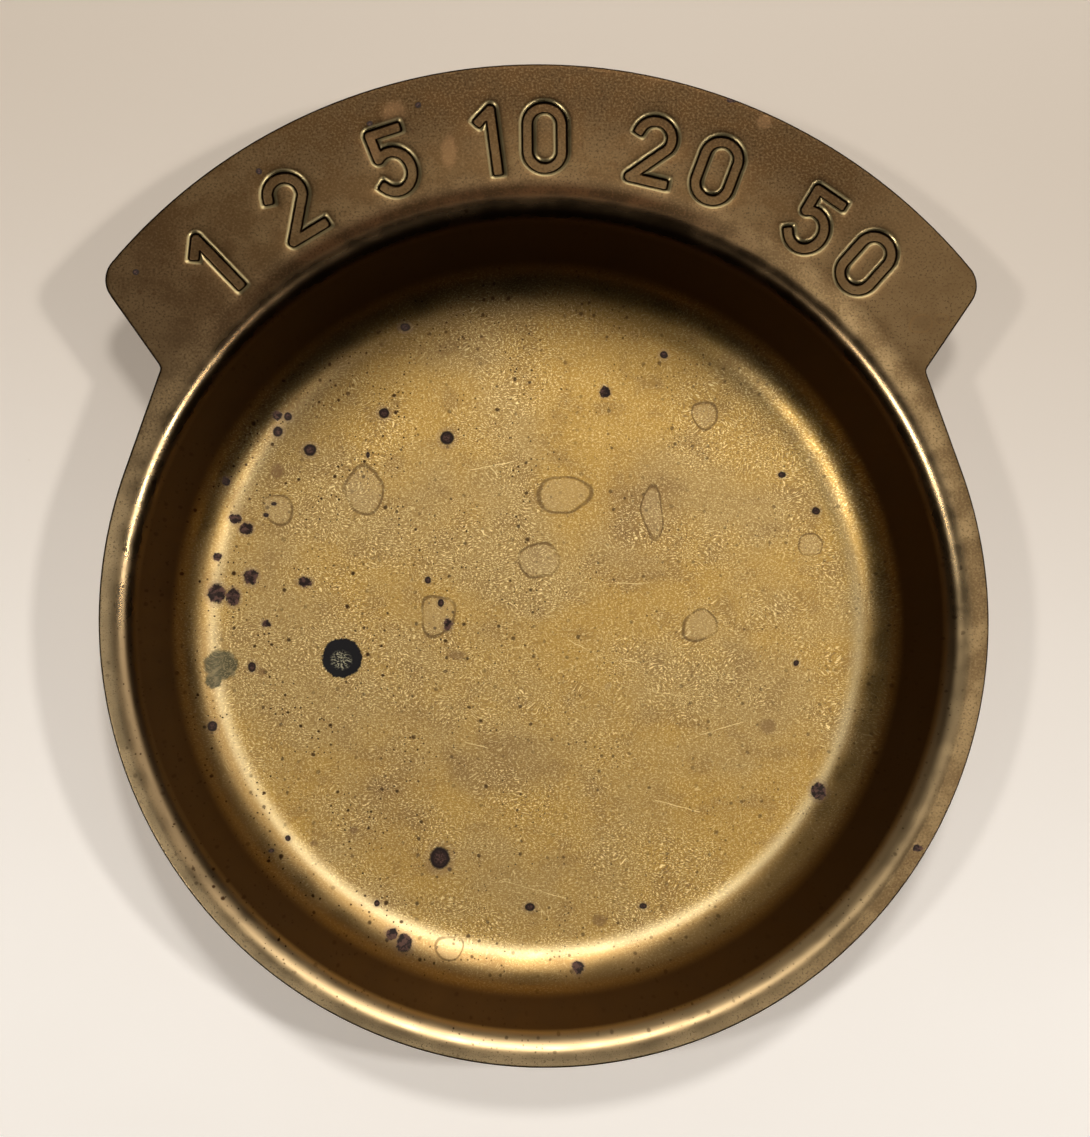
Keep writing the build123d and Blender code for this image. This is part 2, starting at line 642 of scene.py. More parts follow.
@dataclass(frozen=True)
class Camera:
    """The camera, looking down at the dish from where the photograph was taken. Millimetres and degrees."""

    aim: Triple = (-0.68, 6.38, 15.0)
    distance: float = 300.0
    tilt: float = 3.83
    lean: float = -4.36
    roll: float = -0.47
    focal_px: float = 2230.6
    photo_px: tuple[int, int] = (1090, 1137)
    sensor: float = 36.0
    clip_start: float = 10.0

    def turn(self) -> Matrix:
        """Turns the camera from looking straight down.

        Returns:
            Its right, up and back directions, as columns.
        """
        turns = [(self.lean, "Y"), (self.tilt, "X"), (self.roll, "Z")]
        leaning, tilting, rolling = (Matrix.Rotation(math.radians(angle), 3, axis) for angle, axis in turns)
        return leaning @ tilting @ rolling

    def eye(self) -> Vector:
        """Where the lens is."""
        return Vector(self.aim) + self.turn() @ Vector((0, 0, self.distance))

    def pixel(self, height: float) -> float:
        """How many millimetres one pixel of the photograph covers at a height."""
        return (self.eye().z - height) / self.focal_px

    def plan_spot(self, column: float, row: float, height: float) -> Triple:
        """Follows a pixel of the photograph down to a level plane.

        Args:
            column: The pixel's column.
            row: The pixel's row.
            height: The plane's height.

        Returns:
            The point's x and y, and 0.
        """
        across = (column - self.photo_px[0] / 2) / self.focal_px
        upward = (self.photo_px[1] / 2 - row) / self.focal_px
        eye, ray = self.eye(), self.turn() @ Vector((across, upward, -1))
        spot = eye + ray * ((height - eye.z) / ray.z)
        return spot.x, spot.y, 0

    def build(self) -> bpy.types.Object:
        """Adds the camera and makes it the scene's own.

        Returns:
            The camera.
        """
        data = bpy.data.cameras.new("camera")
        data.sensor_width = self.sensor
        data.lens = self.focal_px / self.photo_px[1] * self.sensor
        data.clip_start = self.clip_start * METRE
        camera = bpy.data.objects.new("camera", data)
        camera.matrix_world = Matrix.Translation(self.eye() * METRE) @ self.turn().to_4x4()
        bpy.context.scene.collection.objects.link(camera)
        bpy.context.scene.camera = camera
        LOG.info("camera: %.0f mm above the rim", self.eye().z - self.aim[2])
        return camera


@dataclass(frozen=True)
class Fade:
    """A smooth ramp: where it starts and ends, which may be the smaller value, and what it gives there."""

    low: float
    high: float
    first: float = 0.0
    last: float = 1.0


@dataclass(frozen=True)
class Tone:
    """Mottling of one size, in millimetres, and how hard it is."""

    size: Triple
    contrast: float


@dataclass(frozen=True)
class Specks:
    """Round specks on a loose grid: its spacing, the share of its cells that hold one, and their size."""

    spacing: float
    share: float
    size: float


@dataclass(frozen=True)
class Warp:
    """How noise pushes a place about: waves in a millimetre, the furthest push, and how ragged it is."""

    scale: float
    reach: float
    roughness: float


@dataclass(frozen=True)
class Shade:
    """A patch of the dish towards one side.

    Its way is a plan angle, its spread runs over the cosine from that way, and its reach is in millimetres
    from the bowl's middle.
    """

    way: float
    spread: Pair
    reach: Pair
    strength: float


class NodePad:
    """Adds nodes to one node tree, wiring their inputs as it goes.

    A mix node's sockets share their names, so those for colours are known by their places.
    """

    MIX_INPUTS = (0, 6, 7)
    MIX_RESULT = 2

    def __init__(self, tree: bpy.types.NodeTree) -> None:
        """Keeps the tree that the nodes go to."""
        self.tree = tree

    def add(self, kind: str, inputs: dict | None = None, **settings: object) -> bpy.types.Node:
        """Adds one node.

        Args:
            kind: The node's type.
            inputs: What feeds its inputs, by their name or place: another node's output, or a plain value.
            settings: The node's own settings.

        Returns:
            The node.
        """
        node = self.tree.nodes.new(kind)
        for name, value in settings.items():
            setattr(node, name, value)
        for name, value in (inputs or {}).items():
            self.feed(node.inputs[name], value)
        return node

    def feed(self, socket: Socket, value: object) -> None:
        """Feeds a socket.

        Args:
            socket: The socket.
            value: Another node's output, which is linked, or a plain value, which is set.
        """
        if isinstance(value, Socket):
            self.tree.links.new(value, socket)
        else:
            socket.default_value = value

    def calc(self, operation: str, *values: object) -> Socket:
        """Works out one number."""
        return self.add("ShaderNodeMath", dict(enumerate(values)), operation=operation).outputs[0]

    def times(self, first: object, second: object) -> Socket:
        """Multiplies two numbers."""
        return self.calc("MULTIPLY", first, second)

    def plus(self, first: object, second: object) -> Socket:
        """Adds two numbers."""
        return self.calc("ADD", first, second)

    def minus(self, first: object, second: object) -> Socket:
        """Takes the second number from the first."""
        return self.calc("SUBTRACT", first, second)

    def clamp(self, value: object) -> Socket:
        """Keeps a number between 0 and 1."""
        return self.add("ShaderNodeClamp", {"Value": value}).outputs[0]

    def vector(self, operation: str, *values: object) -> Socket:
        """Works out one vector, or its length, distance or product."""
        node = self.add("ShaderNodeVectorMath", dict(enumerate(values)), operation=operation)
        return node.outputs["Value" if operation in {"LENGTH", "DISTANCE", "DOT_PRODUCT"} else "Vector"]

    def ramp(self, value: object, low: object, high: object, first: float = 0, last: float = 1) -> Socket:
        """Runs smoothly from first to last while a value runs from low to high."""
        spread = {"Value": value, "From Min": low, "From Max": high, "To Min": first, "To Max": last}
        return self.add("ShaderNodeMapRange", spread, interpolation_type="SMOOTHSTEP").outputs[0]

    def fade(self, value: object, fade: Fade) -> Socket:
        """Runs a value through one of the finish's ramps."""
        return self.ramp(value, fade.low, fade.high, fade.first, fade.last)

    def blend(self, share: object, first: object, second: object, kind: str = "MIX") -> Socket:
        """Blends a share of the second colour into the first."""
        inputs = dict(zip(self.MIX_INPUTS, (share, first, second), strict=True))
        return self.add("ShaderNodeMix", inputs, data_type="RGBA", blend_type=kind).outputs[self.MIX_RESULT]

    def lay(self, colour: object, *layers: tuple[object, object]) -> object:
        """Lays tints over a colour, one after the other.

        Args:
            colour: The colour below them.
            layers: How much of each tint shows, and the tint.

        Returns:
            The colour on top.
        """
        for share, tint in layers:
            colour = self.blend(share, colour, tint)
        return colour

    def noise(self, place: object, scale: float, detail: float, roughness: float) -> bpy.types.Node:
        """Adds a noise texture, with scale waves in one unit, and detail finer layers over them."""
        inputs = {"Vector": place, "Scale": scale, "Detail": detail, "Roughness": roughness}
        return self.add("ShaderNodeTexNoise", inputs, noise_dimensions="2D")

    def place(self) -> Socket:
        """The place on the object, in millimetres."""
        return self.vector("MULTIPLY", self.add("ShaderNodeTexCoord").outputs["Object"], MILLIMETRES)


class Effect:
    """A surface effect that is built once, as a node group, and used by any material."""

    def __init__(self, name: str, output: str, places: tuple[str, ...], numbers: tuple[str, ...]) -> None:
        """Opens the group.

        Args:
            name: The group's name.
            output: Its output's name.
            places: The names of its inputs that take a place or a size along each axis.
            numbers: The names of its inputs that take a number.
        """
        self.tree = bpy.data.node_groups.new(name, "ShaderNodeTree")
        for labels, kind in ((places, "NodeSocketVector"), (numbers, "NodeSocketFloat")):
            for label in labels:
                self.tree.interface.new_socket(label, in_out="INPUT", socket_type=kind)
        self.tree.interface.new_socket(output, in_out="OUTPUT", socket_type="NodeSocketFloat")
        self.pad = NodePad(self.tree)
        self.given = self.pad.add("NodeGroupInput").outputs
        self.target = self.pad.add("NodeGroupOutput")

    def give(self, value: Socket) -> "Effect":
        """Sends a value out of the group and hands the finished effect back."""
        self.pad.feed(self.target.inputs[0], value)
        return self

    def use(self, pad: NodePad, inputs: dict[str, object]) -> Socket:
        """Puts the effect into a material, fed by the inputs, and gives its output."""
        return pad.add("ShaderNodeGroup", inputs, node_tree=self.tree).outputs[0]


class Effects:
    """The effects that the dish and the table share.

    The speck sizes are shares of the size asked for: each speck has the second one, and as much of the
    first as its cell's luck gives it. Its solid core is a share of its own size.
    """

    MOTTLE_LAYERS = 3.0
    MOTTLE_ROUGHNESS = 0.55
    SPECK_SIZES = (0.7, 0.3)
    SPECK_CORE = 0.4

    def __init__(self) -> None:
        """Builds every group once."""
        self.mottle = self.build_mottle()
        self.speckle = self.build_speckle()
        self.nearest = self.build_nearest()
        self.stroke = self.build_stroke()

    def build_mottle(self) -> Effect:
        """Builds an uneven tone from 0 to 1: patches of the given size, harder with more contrast.

        Returns:
            The effect.
        """
        effect = Effect("mottle", "Tone", ("Place", "Size"), ("Contrast",))
        pad, given = effect.pad, effect.given
        spot = pad.vector("DIVIDE", given["Place"], given["Size"])
        waves = pad.noise(spot, 1.0, self.MOTTLE_LAYERS, self.MOTTLE_ROUGHNESS).outputs["Fac"]
        swing = pad.times(pad.minus(waves, NOISE_MIDDLE), given["Contrast"])
        return effect.give(pad.clamp(pad.plus(swing, NOISE_MIDDLE)))

    def build_speckle(self) -> Effect:
        """Builds round specks in some of the cells of a loose grid.

        Returns:
            The effect.
        """
        effect = Effect("speckle", "Mask", ("Place",), ("Spacing", "Share", "Size"))
        pad, given = effect.pad, effect.given
        spacing = pad.add("ShaderNodeCombineXYZ", {axis: given["Spacing"] for axis in "XYZ"}).outputs[0]
        spot = pad.vector("DIVIDE", given["Place"], spacing)
        inputs = {"Vector": spot, "Scale": 1.0}
        cells = pad.add("ShaderNodeTexVoronoi", inputs, voronoi_dimensions="2D").outputs
        luck = pad.add("ShaderNodeSeparateColor", {"Color": cells["Color"]}).outputs
        reach = pad.times(given["Size"], pad.calc("MULTIPLY_ADD", luck["Green"], *self.SPECK_SIZES))
        reach = pad.calc("DIVIDE", reach, given["Spacing"])
        speck = pad.ramp(cells["Distance"], reach, pad.times(reach, self.SPECK_CORE))
        return effect.give(pad.times(speck, pad.calc("LESS_THAN", luck["Red"], given["Share"])))

    def build_nearest(self) -> Effect:
        """Builds the distance to an oval stain, in its half widths, or to one before it if that is nearer.

        Returns:
            The effect.
        """
        effect = Effect("nearest_stain", "Nearest", ("Place", "Centre", "Reach"), ("Nearest",))
        pad, given = effect.pad, effect.given
        offset = pad.vector("SUBTRACT", given["Place"], given["Centre"])
        away = pad.vector("LENGTH", pad.vector("DIVIDE", offset, given["Reach"]))
        return effect.give(pad.calc("MINIMUM", away, given["Nearest"]))

    def build_stroke(self) -> Effect:
        """Builds the distance to a straight line, or to one before it if that is nearer.

        Returns:
            The effect.
        """
        effect = Effect("nearest_stroke", "Nearest", ("Place", "Start", "End"), ("Nearest",))
        pad, given = effect.pad, effect.given
        run = pad.vector("SUBTRACT", given["End"], given["Start"])
        offset = pad.vector("SUBTRACT", given["Place"], given["Start"])
        along, whole = (pad.vector("DOT_PRODUCT", way, run) for way in (offset, run))
        share = pad.calc("DIVIDE", along, whole)
        inputs = {"Vector": run, "Scale": pad.clamp(share)}
        foot = pad.add("ShaderNodeVectorMath", inputs, operation="SCALE").outputs[0]
        return effect.give(pad.calc("MINIMUM", pad.vector("DISTANCE", offset, foot), given["Nearest"]))

    def tone(self, pad: NodePad, place: Socket, tone: Tone) -> Socket:
        """Puts the mottling of one tone into a material."""
        return self.mottle.use(pad, {"Place": place, "Size": tone.size, "Contrast": tone.contrast})

    def specks(self, pad: NodePad, place: Socket, specks: Specks) -> Socket:
        """Puts one sort of specks into a material."""
        inputs = {"Place": place, "Spacing": specks.spacing, "Share": specks.share, "Size": specks.size}
        return self.speckle.use(pad, inputs)


class StainKind(Enum):
    """What a stain is."""

    PIT = "a round dark pit in a grey halo"
    SCAB = "a ragged reddish-brown scab"
    BLOT = "the large black blot"
    FLECKS = "pale flecks inside a blot"
    RING = "the outline of a dried drop"
    VERDIGRIS = "a green crust"
    RUST = "a reddish spot"
    CLOUD = "a dull cloud"


@dataclass(frozen=True)
class Stain:
    """A stain, where the photograph shows it: its pixel, its half width and its half height."""

    column: float
    row: float
    half_width: float
    half_height: float


@dataclass(frozen=True)
class Scratch:
    """A bright scratch between two pixels of the photograph."""

    column: float
    row: float
    to_column: float
    to_row: float


FLOOR_STAINS = {
    StainKind.BLOT: (Stain(342, 658, 20, 20),),
    StainKind.FLECKS: (Stain(341, 660, 11, 10),),
    StainKind.PIT: (
        Stain(440, 858, 10, 11), Stain(447, 438, 7, 7), Stain(288, 417, 4, 4), Stain(278, 432, 5, 5),
        Stain(310, 450, 6, 6), Stain(384, 413, 5, 5), Stain(664, 355, 4, 4), Stain(816, 511, 4, 4),
        Stain(530, 907, 5, 4), Stain(213, 726, 5, 5), Stain(252, 667, 4, 5), Stain(405, 328, 5, 4),
        Stain(428, 580, 3, 4), Stain(441, 603, 3, 4), Stain(274, 504, 3, 2), Stain(266, 515, 3, 2),
        Stain(368, 455, 2, 3), Stain(288, 838, 3, 3), Stain(272, 850, 3, 2), Stain(377, 903, 3, 3),
        Stain(782, 475, 4, 3), Stain(643, 906, 4, 3), Stain(796, 663, 3, 3),
    ),
    StainKind.SCAB: (
        Stain(217, 594, 9, 10), Stain(233, 597, 7, 9), Stain(251, 577, 7, 8), Stain(235, 519, 6, 5),
        Stain(246, 529, 7, 6), Stain(278, 417, 5, 4), Stain(227, 482, 4, 4), Stain(305, 582, 7, 5),
        Stain(266, 624, 4, 4), Stain(218, 557, 4, 4), Stain(404, 942, 8, 9), Stain(392, 933, 6, 6),
        Stain(577, 966, 6, 6), Stain(818, 791, 8, 9), Stain(605, 392, 5, 6), Stain(448, 625, 4, 6),
    ),
    StainKind.RING: (
        Stain(363, 491, 20, 23), Stain(563, 494, 27, 17), Stain(537, 560, 19, 18), Stain(437, 616, 17, 20),
        Stain(700, 624, 16, 16), Stain(705, 414, 12, 15), Stain(279, 509, 14, 15), Stain(652, 512, 10, 26),
        Stain(448, 947, 13, 12), Stain(810, 543, 12, 11), Stain(607, 687, 4, 4),
    ),
    StainKind.VERDIGRIS: (Stain(221, 665, 17, 15), Stain(214, 680, 8, 9)),
    StainKind.RUST: (
        Stain(768, 726, 9, 8), Stain(277, 471, 7, 8), Stain(600, 920, 8, 6), Stain(457, 655, 9, 5),
        Stain(261, 672, 4, 4), Stain(354, 830, 4, 4), Stain(314, 843, 4, 4),
    ),
    StainKind.CLOUD: (
        Stain(500, 765, 70, 35), Stain(391, 800, 50, 62), Stain(640, 520, 60, 80), Stain(410, 715, 20, 30),
    ),
}
FLANGE_STAINS = {
    StainKind.PIT: (
        Stain(418, 105, 3, 3), Stain(370, 124, 3, 3), Stain(259, 171, 3, 3), Stain(136, 272, 3, 3),
    ),
    StainKind.SCAB: (Stain(918, 848, 5, 4), Stain(733, 100, 7, 3)),
    StainKind.RING: (Stain(921, 323, 11, 9), Stain(941, 318, 7, 7)),
    StainKind.RUST: (
        Stain(394, 113, 13, 13), Stain(372, 148, 9, 16), Stain(449, 152, 8, 18), Stain(764, 122, 8, 8),
    ),
    StainKind.CLOUD: (Stain(650, 100, 30, 26), Stain(820, 180, 30, 40)),
}
SCRATCHES = (
    Scratch(616, 583, 642, 584),
    Scratch(620, 658, 640, 663),
    Scratch(463, 742, 488, 748),
    Scratch(640, 690, 690, 697),
    Scratch(500, 880, 565, 898),
    Scratch(568, 640, 612, 662),
    Scratch(560, 672, 603, 655),
    Scratch(700, 735, 742, 722),
    Scratch(470, 470, 512, 462),
    Scratch(655, 800, 700, 812),
    Scratch(590, 540, 628, 552),
)


@dataclass(frozen=True)
class AgedBrass:
    """The dish's finish: bright worn floor, dark wall, brown flange, with pits, drop rings and scratches, and
    painted highlights and shade.

    Colours are linear, heights and radii millimetres. Stains fade over their own half widths, where 1 is
    their edge, and other fades run over a tone from 0 to 1.
    """

    floor_height: float
    flange_height: float

    # Metal, bare and tarnished, and the colours of the painted highlights and shade.
    floor: Colour = (0.435, 0.269, 0.069, 1)
    floor_grey: Colour = (0.385, 0.256, 0.094, 1)
    tarnish: Colour = (0.27, 0.165, 0.065, 1)
    glint: Colour = (1.0, 0.82, 0.42, 1)
    # Painted highlight colours for the corner: pale where it catches the light, brown further up.
    corner: Colour = (0.76, 0.63, 0.37, 1)
    corner_sheen_brown: Colour = (0.40, 0.25, 0.10, 1)
    wall: Colour = (0.082, 0.046, 0.022, 1)
    # Painted shade colour, for the floor and the wall towards the sign side.
    shade_brown: Colour = (0.05, 0.026, 0.010, 1)
    lip: Colour = (0.52, 0.375, 0.20, 1)
    # Painted shade colour for the rim next to the lip, along the top.
    lip_shade: Colour = (0.02, 0.011, 0.005, 1)
    # Painted shade colour for the inside of the lip.
    lip_inside: Colour = (0.14, 0.08, 0.036, 1)
    flange: Colour = (0.075, 0.0435, 0.0178, 1)
    flange_light: Colour = (0.115, 0.074, 0.034, 1)
    # Painted shade colour for the middle of the sign flange.
    banner: Colour = (0.03, 0.015, 0.006, 1)
    rim: Colour = (0.19, 0.122, 0.056, 1)
    rim_light: Colour = (0.34, 0.235, 0.115, 1)
    # Dark brown of the dots, used also as painted shade on the lip and along the top of the rim.
    rim_brown: Colour = (0.05, 0.024, 0.010, 1)
    # Painted sheen colour for the rim on the lower left.
    rubbed: Colour = (0.5, 0.375, 0.21, 1)

    # Stains and dirt.
    pit: Colour = (0.020, 0.009, 0.006, 1)
    scab: Colour = (0.13, 0.062, 0.045, 1)
    blot: Colour = (0.007, 0.006, 0.008, 1)
    flecks: Colour = (0.48, 0.45, 0.30, 1)
    halo: Colour = (0.25, 0.175, 0.12, 1)
    drop: Colour = (0.43, 0.32, 0.17, 1)
    drop_edge: Colour = (0.13, 0.075, 0.03, 1)
    rust: Colour = (0.19, 0.108, 0.05, 1)
    verdigris: Colour = (0.085, 0.085, 0.042, 1)
    verdigris_pale: Colour = (0.27, 0.22, 0.11, 1)
    grime: Colour = (0.012, 0.007, 0.004, 1)

    # Patches towards one side, most of them painted highlights and shade.
    # Painted light: on the lower side the bright corner colour reaches higher up the wall.
    lit_side_wall_lift: Shade = Shade(190, (0.1, 0.9), (30.0, 40.0), 0.5)
    # Painted shade: the floor and corner darken towards the sign side, in the wall's shadow.
    top_floor_shade: Shade = Shade(352, (0.35, 0.95), (33.0, 47.0), 0.75)
    # Painted highlight: the corner lightens all round, most on the lower side.
    corner_highlight_patch: Shade = Shade(190, (-1.2, 0.8), (43.8, 46.0), 0.7)
    # Painted shade: the wall darkens towards the upper right.
    wall_shade_patch: Shade = Shade(20, (-0.35, 0.7), (44.0, 50.0), 0.85)
    # Painted shade: the inside of the lip darkens, least on the lower side.
    inner_lip_shade: Shade = Shade(0, (-0.9, 0.1), (56.4, 55.7), 0.85)
    # Painted shade: the lip darkens on its lower left.
    left_lip_shade: Shade = Shade(250, (0.84, 0.98), (53.0, 55.0), 0.6)
    # Painted shade: the lip darkens along its top.
    top_lip_shade: Shade = Shade(357, (0.1, 0.85), (53.0, 55.0), 0.85)
    keen_lip: Shade = Shade(0, (-0.4, 0.3), (54.5, 56.0), 0.11)
    # Painted shade: the rim next to the lip darkens along the top.
    top_brim_shade: Shade = Shade(350, (0.5, 0.95), (53.0, 55.0), 1.0)
    # Painted highlight: the rim lightens towards the lower left.
    rim_sheen_patch: Shade = Shade(222, (-0.1, 0.8), (57.0, 58.0), 0.85)
    # Painted shade: the sign flange darkens in its middle and towards its outer edge.
    banner_shade_patch: Shade = Shade(8, (0.6, 0.97), (62.0, 72.0), 0.7)
    end_patch: Shade = Shade(55, (0.93, 0.995), (60.0, 63.0), 0.32)
    flare_patch: Shade = Shade(303, (0.93, 0.99), (56.0, 58.0), 0.45)

    # Where the dish's parts begin: the normal's rise, heights above the table, then radii.
    facing_up: Fade = Fade(0.02, 0.2)
    wall_foot: Fade = Fade(2.2, 6.0)
    lip_foot: Fade = Fade(12.4, 13.9)
    corner_turn: Fade = Fade(45.2, 46.8)
    flange_start: Fade = Fade(56.6, 58.4)
    flange_brown: Fade = Fade(58.8, 61.8)
    brim_end: Fade = Fade(62.3, 58.8)

    # Grain, dashes, patches and waves.
    gentle: Warp = Warp(0.8, 0.3, 0.5)
    ragged: Warp = Warp(1.1, 0.9, 0.75)
    curved: Warp = Warp(0.22, 3.2, 0.4)
    bent: Warp = Warp(0.2, 1.9, 0.3)
    grit: Tone = Tone((0.34, 0.3, 0.3), 2.6)
    dash: Tone = Tone((0.34, 0.19, 0.3), 3.0)
    patch: Tone = Tone((5, 4, 5), 2.2)
    wave: Tone = Tone((26, 22, 20), 1.8)
    lively: Tone = Tone((19, 15, 20), 2.4)
    lively_share: Fade = Fade(0.25, 0.8, 0.4, 1.0)
    grey_waves: Fade = Fade(0.25, 0.75)
    tarnished_patches: Fade = Fade(0.5, 1.0, 0.0, 0.42)
    dull_dashes: Fade = Fade(0.38, 0.08, 0.0, 0.95)
    pale_dashes: Fade = Fade(0.72, 1.0, 0.0, 0.85)
    bright_grit: Fade = Fade(0.66, 1.0, 0.0, 0.35)
    light_patches: Fade = Fade(0.2, 0.9, 0.0, 0.75)
    light_grit: Fade = Fade(0.5, 1.0, 0.0, 0.5)
    grimy_grit: Fade = Fade(0.35, 0.0, 0.0, 0.55)
    grimy_patches: Fade = Fade(0.1, 0.8, 0.25, 1.0)

    # Small dots, in drifts, thicker to the left and in the bowl.
    small_dots: Specks = Specks(0.85, 0.4, 0.2)
    large_dots: Specks = Specks(2.3, 0.6, 0.42)
    drift: Tone = Tone((9, 8, 8), 2.6)
    drift_share: Fade = Fade(0.3, 0.7, 0.4, 1.0)
    crowd_way: Triple = (-1.0, 0.2, 0.0)
    crowd: Fade = Fade(-35.0, 30.0, 0.55, 1.0)
    dots_in_bowl: Fade = Fade(0.0, 1.0, 0.45, 1.0)

    # Stains.
    scratch_line: Fade = Fade(0.085, 0.02)
    scratch_patches: Fade = Fade(0.1, 0.8, 0.15, 0.7)
    cloud_edge: Fade = Fade(1.2, 0.1)
    cloud_patches: Pair = (0.65, 0.35)
    cloud_share: float = 0.95
    rust_edge: Fade = Fade(1.25, 0.6)
    rust_in_bowl: Fade = Fade(0.0, 1.0, 0.28, 0.6)
    drop_fill: Fade = Fade(1.0, 0.8, 0.0, 0.3)
    drop_line: Fade = Fade(0.13, 0.03, 0.0, 0.75)
    drop_patches: Fade = Fade(0.1, 0.5, 0.45, 1.0)
    green_edge: Fade = Fade(1.1, 0.85, 0.0, 0.85)
    moss: Tone = Tone((1.6, 1.3, 1.5), 3.0)
    moss_pale: Fade = Fade(0.45, 0.95)
    scab_halo: Fade = Fade(1.6, 1.1, 0.0, 0.35)
    scab_edge: Fade = Fade(1.08, 0.85)
    flesh: Tone = Tone((0.9, 0.7, 0.8), 2.4)
    flesh_share: Fade = Fade(0.35, 0.8)
    pit_halo: Fade = Fade(1.9, 1.3, 0.0, 0.25)
    pit_edge: Fade = Fade(1.15, 0.85)
    pit_heart: Fade = Fade(0.8, 0.3)
    heart_grit: Fade = Fade(0.2, 0.9, 0.1, 0.9)
    blot_edge: Fade = Fade(1.03, 0.95)
    fleck_edge: Fade = Fade(1.1, 0.6)
    fleck_dashes: Fade = Fade(0.5, 0.8)

    # Gloss, and relief in millimetres.
    bowl_roughness: Fade = Fade(42.5, 48.0, 0.55, 0.35)
    flange_dulling: Fade = Fade(57.6, 59.2, 0.0, 0.07)
    worn_polish: float = 0.3
    patch_swing: float = 0.1
    crust_dulling: float = 0.3
    crust_metal: Fade = Fade(0.2, 1.0, 1.0, 0.3)
    dash_relief: Fade = Fade(44.0, 48.0, 0.007, 0.0)
    grit_relief: Fade = Fade(43.0, 46.0, 0.004, 0.0012)
    wave_relief: Fade = Fade(44.0, 50.0, 0.05, 0.008)

    def build(self, effects: Effects, camera: Camera) -> bpy.types.Material:
        """Makes the material.

        Args:
            effects: The shared node groups.
            camera: The camera, which tells where the photograph's stains lie.

        Returns:
            The material.
        """
        material = bpy.data.materials.new("aged_brass")
        material.use_nodes = True
        brush = BrassBrush(self, effects, camera, material.node_tree)
        pad = brush.pad
        flange = brush.flange_colour()
        sheet = pad.blend(brush.on_flange, brush.bowl_colour(), flange)
        bump = pad.add("ShaderNodeBump", {"Height": brush.height(), "Distance": METRE, "Strength": 1.0})
        sockets = material.node_tree.nodes["Principled BSDF"].inputs
        pad.feed(sockets["Base Color"], pad.blend(brush.upper, flange, brush.spoil(sheet)))
        pad.feed(sockets["Roughness"], brush.roughness())
        pad.feed(sockets["Metallic"], pad.fade(brush.crust, self.crust_metal))
        pad.feed(sockets["Normal"], bump.outputs["Normal"])
        LOG.info("%s: %d nodes", material.name, len(material.node_tree.nodes))
        return material


